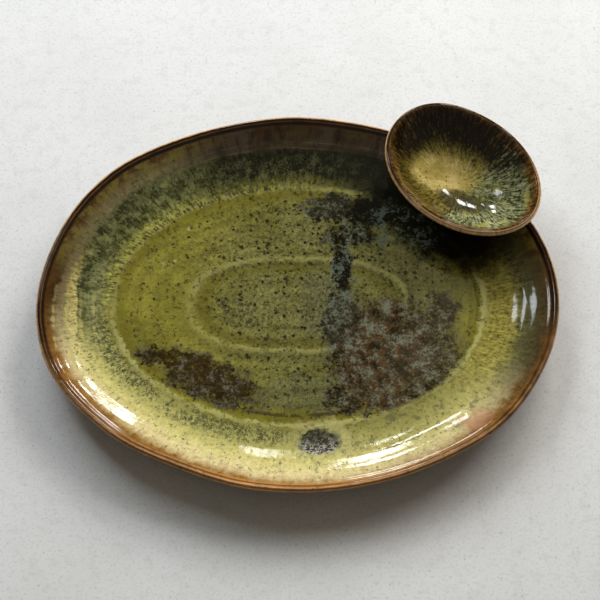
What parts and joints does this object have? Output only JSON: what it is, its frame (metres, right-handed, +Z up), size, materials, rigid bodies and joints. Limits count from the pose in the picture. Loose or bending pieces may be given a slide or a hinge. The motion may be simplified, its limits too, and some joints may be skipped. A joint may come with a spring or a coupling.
{
  "type": "serving platter",
  "caption": "Oval glazed stoneware serving platter with a low flared wall, throwing ridges on its floor and a small oval dip bowl set into its rim.",
  "frame": {"origin": "middle of the platter's oval, on the table under the foot ring", "axes": "+X along the platter's long axis, +Y across it towards the side that carries the dip bowl, +Z up"},
  "size_m": [0.33, 0.262, 0.044],
  "materials": {
    "platter_glaze": "glossy olive reactive glaze, breaking amber and dark green at the wall",
    "bowl_glaze": "glossy olive and brown reactive glaze with dark streaks",
    "seat_glaze": "glossy dark brown glaze, pooled in the joint",
    "bare_clay": "unglazed toasted stoneware, fine speckle"
  },
  "bodies": {
    "root": {"platter_body": "platter_glaze", "platter_foot_ring": "bare_clay", "dip_bowl": "bowl_glaze", "bowl_seat_inner": "seat_glaze", "bowl_seat_outer": "seat_glaze"}
  },
  "joints": []
}
